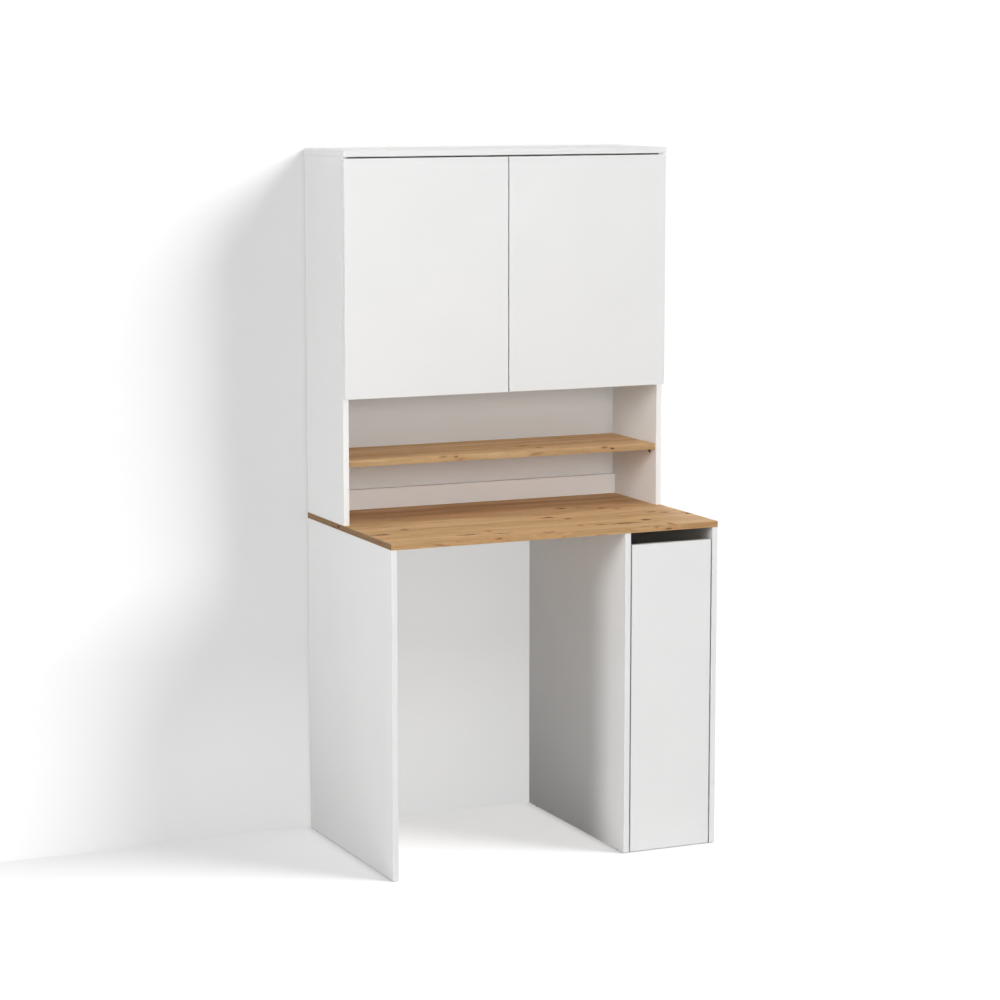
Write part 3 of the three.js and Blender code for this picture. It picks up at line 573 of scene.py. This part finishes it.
def screw_head(name, radius, height, recess, socket=CROSS, profile=HEAD_PROFILE):
    """A screw head with a socket in its crown; its seat is at the origin, and its crown towards +Z."""
    bm = bmesh.new()
    rings = []
    for radius_share, height_share in profile:
        angles = [2 * math.pi * step / HEAD_SIDES for step in range(HEAD_SIDES)]
        reach = radius * radius_share
        points = [(reach * math.cos(angle), reach * math.sin(angle)) for angle in angles]
        rings.append(ring(bm, points, height * height_share))
    for outer, inner in zip(rings, rings[1:]):
        skirt(bm, outer, inner)
    bm.faces.new(list(reversed(rings[0])))
    mouth = ring(bm, [(radius * x, radius * y) for x, y in socket], height)
    foot = SOCKET_TAPER * radius
    floor = ring(bm, [(foot * x, foot * y) for x, y in socket], height - recess)
    skirt(bm, mouth, floor)
    bm.faces.new(floor)
    edges = [bm.edges.get((loop[step - 1], loop[step])) or bm.edges.new((loop[step - 1], loop[step]))
             for loop in (rings[-1], mouth) for step in range(len(loop))]
    bmesh.ops.triangle_fill(bm, use_beauty=True, edges=edges)
    bmesh.ops.recalc_face_normals(bm, faces=bm.faces)
    return mesh_from(bm, name)


def fitting(name, head, places, towards, node, slot):
    """The same head at every place, crown towards a direction, riding with the body of a node."""
    turn = Vector(towards).to_track_quat("Z", "Y").to_matrix().to_4x4()
    bm = bmesh.new()
    for place in places:
        first = len(bm.verts)
        bm.from_mesh(head)
        bm.verts.ensure_lookup_table()
        seated = Matrix.Translation(place) @ turn
        bmesh.ops.transform(bm, matrix=seated, verts=bm.verts[first:])
    piece = add_piece(name, mesh_from(bm, name), slot)
    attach(piece, BODY_OF[node])


# Radius, height and depth of the socket
HINGE_SCREW = screw_head("hinge_screw", 3.6 * MM, 1.5 * MM, 0.9 * MM)
PLATE_SCREW = screw_head("plate_screw", 3.8 * MM, 1.6 * MM, 1.0 * MM)
ARM_SCREW = screw_head("arm_screw", 2.9 * MM, 0.9 * MM, 0.7 * MM)
RUNNER_SCREW = screw_head("runner_screw", 3.4 * MM, 1.3 * MM, 0.8 * MM)
FLUSH_SCREW = screw_head("flush_screw", 2.1 * MM, 1.1 * MM, 0.6 * MM)
LINK_PIN = screw_head("link_pin", 1.7 * MM, 0.4 * MM, 0.1 * MM, HEXAGON)
CUP_PIN = screw_head("cup_pin", 1.1 * MM, 7.3 * MM, 0.1 * MM, HEXAGON, ROD_PROFILE)
BIN_SCREW = screw_head("bin_screw", 3.6 * MM, 0.3 * MM, 0.28 * MM, HEXAGON)
CAM_CAP = screw_head("cam_cap", 8.0 * MM, 0.6 * MM, 0.35 * MM)
NAIL = screw_head("nail", 1.7 * MM, 0.35 * MM, 0.05 * MM, HEXAGON)

CUP_RIM_RADIUS = 19 * MM
EAR_SPACING = 45 * MM
EAR_OFFSET = 9.5 * MM
PLATE_LINE = 37 * MM  # from the front edge of the side to the screws of the plate
PLATE_SCREW_SPACING = 32 * MM
ARM_SCREW_PLACES = (24 * MM, 40 * MM)  # behind the front edge of the side
ARM_WALL_HEIGHT = 13.5 * MM
# Link bars of a hinge: from the side, and from its front edge, to the pin in the arm and the pin in the cup
LINKS = (
    ((4.4 * MM, -3.8 * MM), (4.6 * MM, -9.2 * MM)),
    ((9.9 * MM, -3.8 * MM), (11.0 * MM, -9.2 * MM)),
)
LINK_EYE = 2.2 * MM
LINK_HALF_WIDTH = 1.7 * MM
LINK_SHEET = 1.2 * MM
LINK_PLAY = 0.2 * MM
LINK_STEPS = 30
EYE_STEPS = 6
EYE_END = math.radians(80)
PLATE_SHEET = 2 * MM


def link_sections(start, end):
    """Sections of a link bar between two pins, as line, middle and half width, round at both ends."""
    sections = []
    for step in range(EYE_STEPS):
        turn = EYE_END * (1 - step / EYE_STEPS)
        sections.append((start[1] + LINK_EYE * math.sin(turn), start[0], LINK_EYE * math.cos(turn)))
    for step in range(LINK_STEPS + 1):
        share = step / LINK_STEPS
        line = start[1] + share * (end[1] - start[1])
        from_pin = min(abs(line - start[1]), abs(line - end[1]))
        eye = math.sqrt(max(0.0, LINK_EYE ** 2 - from_pin ** 2))
        sections.append((line, start[0] + share * (end[0] - start[0]), max(LINK_HALF_WIDTH, eye)))
    for step in range(1, EYE_STEPS + 1):
        turn = EYE_END * step / EYE_STEPS
        sections.append((end[1] - LINK_EYE * math.sin(turn), end[0], LINK_EYE * math.cos(turn)))
    return sections


def link_bar(bm, place, start, end, inner, outer):
    """One flat bar between two pins; inner and outer are the levels of its faces."""
    loops = []
    for line, middle, half in link_sections(start, end):
        corners = [(middle - half, inner), (middle + half, inner)]
        corners += [(middle + half, outer), (middle - half, outer)]
        loops.append([bm.verts.new(place(x, line, z)) for x, z in corners])
    for first, following in zip(loops, loops[1:]):
        skirt(bm, first, following)
    bm.faces.new(loops[0])
    bm.faces.new(loops[-1])


def link_bars(hinge, face, sign, low, high):
    """Two links on either side of the neck, folded into the cup when the door is shut.

    The real links turn on pins. Here one axis stands for them all, and the bars are built fixed in their shut
    place.
    """
    def place(x, line, z):
        return (face - sign * x, UPPER_FRONT + line, z)

    bm = bmesh.new()
    for start, end in LINKS:
        for edge, outwards in ((low, -1), (high, 1)):
            inner = edge + outwards * LINK_PLAY
            link_bar(bm, place, start, end, inner, inner + outwards * LINK_SHEET)
    bmesh.ops.recalc_face_normals(bm, faces=bm.faces)
    name = f"{hinge}_links"
    piece = add_piece(name, mesh_from(bm, name), "zinc_steel")
    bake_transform(piece)


def hinge_fittings(side, level, sign):
    """The screws and rivets of one hinge; sign is -1 on the left and 1 on the right."""
    hinge = f"{side}_{level}_hinge"
    low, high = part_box(f"{hinge}_cup")
    middle = (low.z + high.z) / 2
    rim = low.x if sign < 0 else high.x
    cup_x = rim - sign * CUP_RIM_RADIUS
    ears = [(cup_x - sign * EAR_OFFSET, high.y, middle + way * EAR_SPACING / 2) for way in (-1, 1)]
    fitting(f"{hinge}_cup_screws", HINGE_SCREW, ears, REAR, f"{side}_door", "zinc_steel")

    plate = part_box(f"{hinge}_plate")
    face = plate[0].x if sign < 0 else plate[1].x
    line = UPPER_FRONT + PLATE_LINE
    inwards = (-sign, 0, 0)
    ways = [middle + way * PLATE_SCREW_SPACING / 2 for way in (-1, 1)]
    places = [(face - sign * PLATE_SHEET, line, z) for z in ways]
    fitting(f"{hinge}_plate_screws", PLATE_SCREW, places, inwards, f"{hinge}_plate", "zinc_steel")
    places = [(face - sign * ARM_WALL_HEIGHT, UPPER_FRONT + y, middle) for y in ARM_SCREW_PLACES]
    fitting(f"{hinge}_arm_screws", ARM_SCREW, places, inwards, f"{hinge}_arm", "zinc_steel")
    arm_low, arm_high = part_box(f"{hinge}_arm")
    link_bars(hinge, face, sign, arm_low.z, arm_high.z)
    for edge, upwards, end in ((arm_low.z, -1, "lower"), (arm_high.z, 1, "upper")):
        z = edge + upwards * (LINK_PLAY + LINK_SHEET)
        places = [(face - sign * x, UPPER_FRONT + y, z) for (x, y), _ in LINKS]
        fitting(f"{hinge}_{end}_link_pins", LINK_PIN, places, (0, 0, upwards), f"{hinge}_arm", "zinc_steel")
        places = [(face - sign * x, UPPER_FRONT + y, z) for _, (x, y) in LINKS]
        fitting(f"{hinge}_{end}_cup_pins", CUP_PIN, places, (0, 0, upwards), f"{side}_door", "zinc_steel")


RUNNER_HOLE_SHARES = (0.07, 0.5, 0.93)
RUNNER_SHEET = 1.2 * MM


def runner_fittings(side, sign):
    """Flush screws through the cabinet member, and raised ones through the bin's member."""
    low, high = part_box(f"{side}_runner_cabinet_member")
    middle = (low.z + high.z) / 2
    rows = [low.y + share * (high.y - low.y) for share in RUNNER_HOLE_SHARES]
    wall = low.x if sign < 0 else high.x
    places = [(wall, y, middle) for y in rows]
    member = f"{side}_runner_cabinet_member"
    fitting(f"{side}_runner_wall_screws", FLUSH_SCREW, places, (-sign, 0, 0), member, "zinc_steel")
    low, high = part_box(f"{side}_runner_bin_member")
    web = (high.x - RUNNER_SHEET) if sign < 0 else (low.x + RUNNER_SHEET)
    member = f"{side}_runner_bin_member"
    places = [(web, y, middle) for y in rows]
    fitting(f"{side}_runner_bin_screws", RUNNER_SCREW, places, (sign, 0, 0), member, "zinc_steel")


CAM_SETBACK = 34 * MM
CAM_ROW_SHARES = (0.12, 0.88)
BIN_CAP_SHARES = (0.12, 0.5, 0.9)
BASE_SCREW_SHARES = (0.1, 0.5, 0.85)
BACK_SCREW_SHARES = (0.25, 0.85)


def bin_fittings(side, sign):
    """Socket screws through the side into the base and the back, and cam caps by the front."""
    low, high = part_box(f"bin_{side}_side")
    outer, inner = (low.x, high.x) if sign < 0 else (high.x, low.x)
    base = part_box("bin_base")
    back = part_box("bin_back")
    base_level = (base[0].z + base[1].z) / 2
    back_line = (back[0].y + back[1].y) / 2
    depth = high.y - low.y
    height = high.z - low.z
    places = [(outer, low.y + share * depth, base_level) for share in BASE_SCREW_SHARES]
    places += [(outer, back_line, low.z + share * height) for share in BACK_SCREW_SHARES]
    fitting(f"bin_{side}_side_screws", BIN_SCREW, places, (sign, 0, 0), f"bin_{side}_side", "zinc_steel")
    places = [(inner, low.y + CAM_SETBACK, low.z + share * height) for share in BIN_CAP_SHARES]
    fitting(f"bin_{side}_side_cam_caps", CAM_CAP, places, (-sign, 0, 0), f"bin_{side}_side", "white_plastic")


def panel_cam_caps(panel, face_x, inwards):
    """Caps near the top of an upright panel, where it is drawn up to the board above it."""
    low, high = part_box(panel)
    rows = [low.y + share * (high.y - low.y) for share in CAM_ROW_SHARES]
    places = [(face_x, y, high.z - CAM_SETBACK) for y in rows]
    fitting(f"{panel}_cam_caps", CAM_CAP, places, (inwards, 0, 0), panel, "white_plastic")


def board_cam_caps(board, towards):
    """Caps near both ends of a board that lies between two panels."""
    low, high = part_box(board)
    ends = [low.x + CAM_SETBACK, high.x - CAM_SETBACK]
    if towards[2]:
        rows = [low.y + share * (high.y - low.y) for share in CAM_ROW_SHARES]
        places = [(x, y, high.z) for x in ends for y in rows]
    else:
        places = [(x, low.y, (low.z + high.z) / 2) for x in ends]
    fitting(f"{board}_cam_caps", CAM_CAP, places, towards, board, "white_plastic")


NAIL_PITCH = 110 * MM
NAIL_INSET = 4.5 * MM


def stretch(start, end, pitch):
    count = max(1, round((end - start) / pitch))
    return [start + step * (end - start) / count for step in range(count + 1)]


def back_nails():
    """Nails round the edge of the upper back, and along the boards that it crosses."""
    low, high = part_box("upper_back")
    uprights = stretch(low.z + 3 * NAIL_INSET, high.z - 3 * NAIL_INSET, NAIL_PITCH)
    crossings = stretch(low.x + NAIL_PITCH, high.x - NAIL_PITCH, NAIL_PITCH)
    places = [(x, high.y, z) for x in (low.x + NAIL_INSET, high.x - NAIL_INSET) for z in uprights]
    for board in ("niche_rear_rail", "cupboard_floor", "hanging_rail"):
        board_low, board_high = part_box(board)
        level = max(board_low.z + 2 * NAIL_INSET, min((board_low.z + board_high.z) / 2, board_high.z))
        places += [(x, high.y, level) for x in crossings]
    fitting("upper_back_nails", NAIL, places, REAR, "upper_back", "zinc_steel")


def build_fittings():
    for side, sign in (("left", -1), ("right", 1)):
        for level in ("lower", "upper"):
            hinge_fittings(side, level, sign)
        runner_fittings(side, sign)
        bin_fittings(side, sign)
    panel_cam_caps("left_side_panel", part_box("left_side_panel")[1].x, 1)
    panel_cam_caps("partition_panel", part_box("partition_panel")[1].x, 1)
    panel_cam_caps("right_side_panel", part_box("right_side_panel")[0].x, -1)
    panel_cam_caps("upper_left_side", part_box("upper_left_side")[1].x, 1)
    panel_cam_caps("upper_right_side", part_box("upper_right_side")[0].x, -1)
    for board in ("bay_rear_rail", "compartment_rear_rail", "hanging_rail"):
        board_cam_caps(board, FRONT)
    for board in ("compartment_floor", "cupboard_floor"):
        board_cam_caps(board, (0, 0, 1))
    back_nails()


UPPER_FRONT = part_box("upper_left_side")[0].y
build_fittings()


# Stage and light

def camera_share(graph):
    """1 for what the camera sees, straight or in a gloss or glass, and 0 for light on the object."""
    rays = graph.node("ShaderNodeLightPath").outputs
    seen = graph.math("MAXIMUM", rays["Is Camera Ray"], rays["Is Glossy Ray"])
    return graph.math("MAXIMUM", seen, rays["Is Transmission Ray"])


def stage_material(name, lift, reach, share, painted_foot_light=0.0, one_sided=False):
    """A pale surface that shows lighter to the camera, so that it is white where no shadow lies.

    The lift drops by a share where something stands within reach, a painted shade near things, and rises
    towards the floor by the foot amount, a painted light at the foot of the backdrop.
    """
    made = bpy.data.materials.new(name)
    made.use_nodes = True
    made.node_tree.nodes.clear()
    graph = Graph(made.node_tree)
    seen = camera_share(graph)
    colour = graph.blend(seen, STAGE_COLOUR, SEEN_STAGE_COLOUR)
    diffuse = graph.node("ShaderNodeBsdfDiffuse", {"Color": colour}).outputs[0]
    position = graph.node("ShaderNodeNewGeometry").outputs["Position"]
    height = graph.node("ShaderNodeSeparateXYZ", {"Vector": position}).outputs["Z"]
    # Painted light at the foot of the backdrop
    lift_and_painted_foot_light = graph.remap(height, 0.0, FOOT_HEIGHT, lift + painted_foot_light, lift)
    near = graph.node("ShaderNodeAmbientOcclusion", {"Distance": reach}, samples=CONTACT_SAMPLES)
    # Painted shade near anything within reach
    painted_contact_shade = graph.remap(near.outputs["AO"], 0.0, 1.0, 1.0 - share, 1.0)
    strength = graph.math("MULTIPLY", seen, graph.math("MULTIPLY", lift_and_painted_foot_light, painted_contact_shade))
    glow = graph.node("ShaderNodeEmission", {"Color": (1, 1, 1, 1), "Strength": strength}).outputs[0]
    surface = graph.node("ShaderNodeAddShader", {0: diffuse, 1: glow}).outputs[0]
    if one_sided:
        behind = graph.node("ShaderNodeNewGeometry").outputs["Backfacing"]
        clear = graph.node("ShaderNodeBsdfTransparent").outputs[0]
        surface = graph.node("ShaderNodeMixShader", {0: behind, 1: surface, 2: clear}).outputs[0]
    graph.feed(graph.node("ShaderNodeOutputMaterial").inputs["Surface"], surface)
    return made


def stage_plane(name, size, place, turn, material):
    half = size / 2
    mesh = bpy.data.meshes.new(name)
    corners = [(-half, -half, 0), (half, -half, 0), (half, half, 0), (-half, half, 0)]
    mesh.from_pydata(corners, [], [(0, 1, 2, 3)])
    mesh.materials.append(material)
    plane = bpy.data.objects.new(name, mesh)
    plane.location = place
    plane.rotation_euler = turn
    bpy.context.scene.collection.objects.link(plane)
    return plane


def build_stage():
    """A wide floor, and an upright backdrop close behind that is clear from its rear."""
    floor_material = stage_material("floor", FLOOR_LIFT, CONTACT_REACH, CONTACT_SHADE_SHARE)
    floor = stage_plane("floor", FLOOR_SIZE, (0, 0, 0), (0, 0, 0), floor_material)
    wall_place = (0, cad_box[1].y + BACKDROP_GAP, BACKDROP_SIZE / 2)
    wall_facts = (BACKDROP_LIFT, CORNER_REACH, CORNER_SHADE_SHARE, PAINTED_FOOT_LIGHT)
    wall_material = stage_material("backdrop", *wall_facts, one_sided=True)
    wall = stage_plane("backdrop", BACKDROP_SIZE, wall_place, (math.pi / 2, 0, 0), wall_material)
    wall.visible_diffuse = False
    wall.visible_shadow = False
    return [floor, wall]


def build_world():
    world = bpy.data.worlds.new("studio")
    world.use_nodes = True
    world.node_tree.nodes.clear()
    graph = Graph(world.node_tree)
    strength = graph.remap(camera_share(graph), 0.0, 1.0, WORLD_LIGHT, 1.0)
    glow = graph.node("ShaderNodeBackground", {"Color": (1, 1, 1, 1), "Strength": strength}).outputs[0]
    graph.feed(graph.node("ShaderNodeOutputWorld").inputs["Surface"], glow)
    bpy.context.scene.world = world


def light_group(name, state, planes):
    """A collection that lets a light fall on the stage only, or on everything else."""
    group = bpy.data.collections.new(name)
    for plane in planes:
        group.objects.link(plane)
    for entry in group.collection_objects:
        entry.light_linking.link_state = state
    return group


def hang_light(name, lamp, azimuth, elevation, distance, receivers=None):
    """Places a lamp in a direction from the cabinet, turned towards it, and limits what it lights."""
    light = bpy.data.objects.new(name, lamp)
    across = math.radians(azimuth)
    up = math.radians(elevation)
    towards = Vector((math.sin(across) * math.cos(up), -math.cos(across) * math.cos(up), math.sin(up)))
    light.location = Vector(LIGHT_TARGET) + towards * distance
    light.rotation_euler = towards.to_track_quat("Z", "Y").to_euler()
    light.visible_camera = False
    if receivers:
        light.light_linking.receiver_collection = receivers
    bpy.context.scene.collection.objects.link(light)


def build_lights(stage):
    """The key leaves one clear shadow on the stage, so the panels light the cabinet alone."""
    stage_only = light_group("stage_only", "INCLUDE", stage)
    cabinet_only = light_group("cabinet_only", "EXCLUDE", stage)
    for name, (azimuth, elevation, angle, strength, falls_on) in SUNS.items():
        lamp = bpy.data.lights.new(name, "SUN")
        lamp.angle = math.radians(angle)
        lamp.energy = strength
        hang_light(name, lamp, azimuth, elevation, SUN_DISTANCE, stage_only if falls_on == "stage" else None)
    for name, (azimuth, elevation, distance, diameter, power) in PANELS.items():
        lamp = bpy.data.lights.new(name, "AREA")
        lamp.shape = "DISK"
        lamp.size = diameter
        lamp.energy = power
        hang_light(name, lamp, azimuth, elevation, distance, cabinet_only)


build_world()
build_lights(build_stage())
bpy.context.scene.view_settings.view_transform = "Standard"
